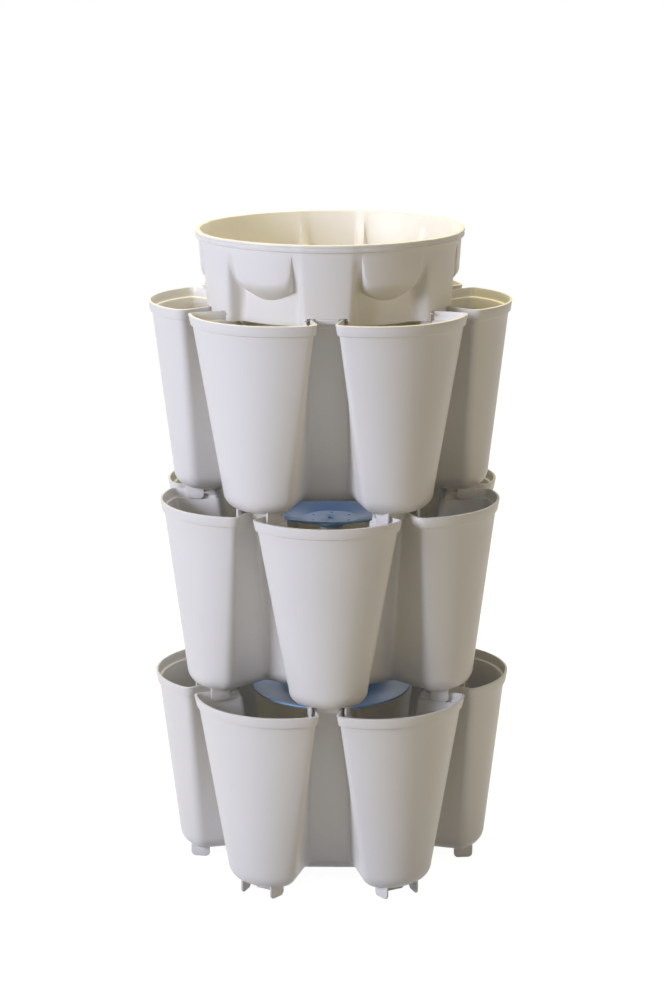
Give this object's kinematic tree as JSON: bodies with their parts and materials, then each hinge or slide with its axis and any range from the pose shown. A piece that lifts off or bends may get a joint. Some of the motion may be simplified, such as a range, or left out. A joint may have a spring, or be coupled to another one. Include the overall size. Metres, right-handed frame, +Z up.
{
  "type": "vertical planter tower",
  "caption": "Stackable vertical planter tower: lobed pocket tiers turned half a pocket from each other, watering disks between them and a water reservoir bowl on top.",
  "frame": {"origin": "under the middle of the tower, on the surface that its feet stand on", "axes": "+Z up along the tower's axis, front towards -Y: the middle tier has a pocket facing -Y, the other two have a valley there"},
  "size_m": [0.4652, 0.4652, 0.846],
  "materials": {
    "stone_plastic": "satin",
    "blue_plastic": "gloss"
  },
  "bodies": {
    "tier_bottom": {"tier_bottom": "stone_plastic"},
    "tier_middle": {"tier_middle": "stone_plastic"},
    "tier_top": {"tier_top": "stone_plastic"},
    "lower_watering_disk": {"lower_watering_disk": "blue_plastic"},
    "upper_watering_disk": {"upper_watering_disk": "blue_plastic"},
    "water_reservoir": {"water_reservoir": "stone_plastic"}
  },
  "joints": [
    {"name": "middle_tier_lift", "type": "slide", "parent": "tier_bottom", "child": "tier_middle", "axis": [0, 0, 1], "range_m": [0, 0.08]},
    {"name": "top_tier_lift", "type": "slide", "parent": "tier_middle", "child": "tier_top", "axis": [0, 0, 1], "range_m": [0, 0.08]},
    {"name": "reservoir_lift", "type": "slide", "parent": "tier_top", "child": "water_reservoir", "axis": [0, 0, 1], "range_m": [0, 0.08]},
    {"name": "lower_disk_lift", "type": "slide", "parent": "tier_bottom", "child": "lower_watering_disk", "axis": [0, 0, 1], "range_m": [0, 0.01]},
    {"name": "upper_disk_lift", "type": "slide", "parent": "tier_middle", "child": "upper_watering_disk", "axis": [0, 0, 1], "range_m": [0, 0.01]}
  ]
}
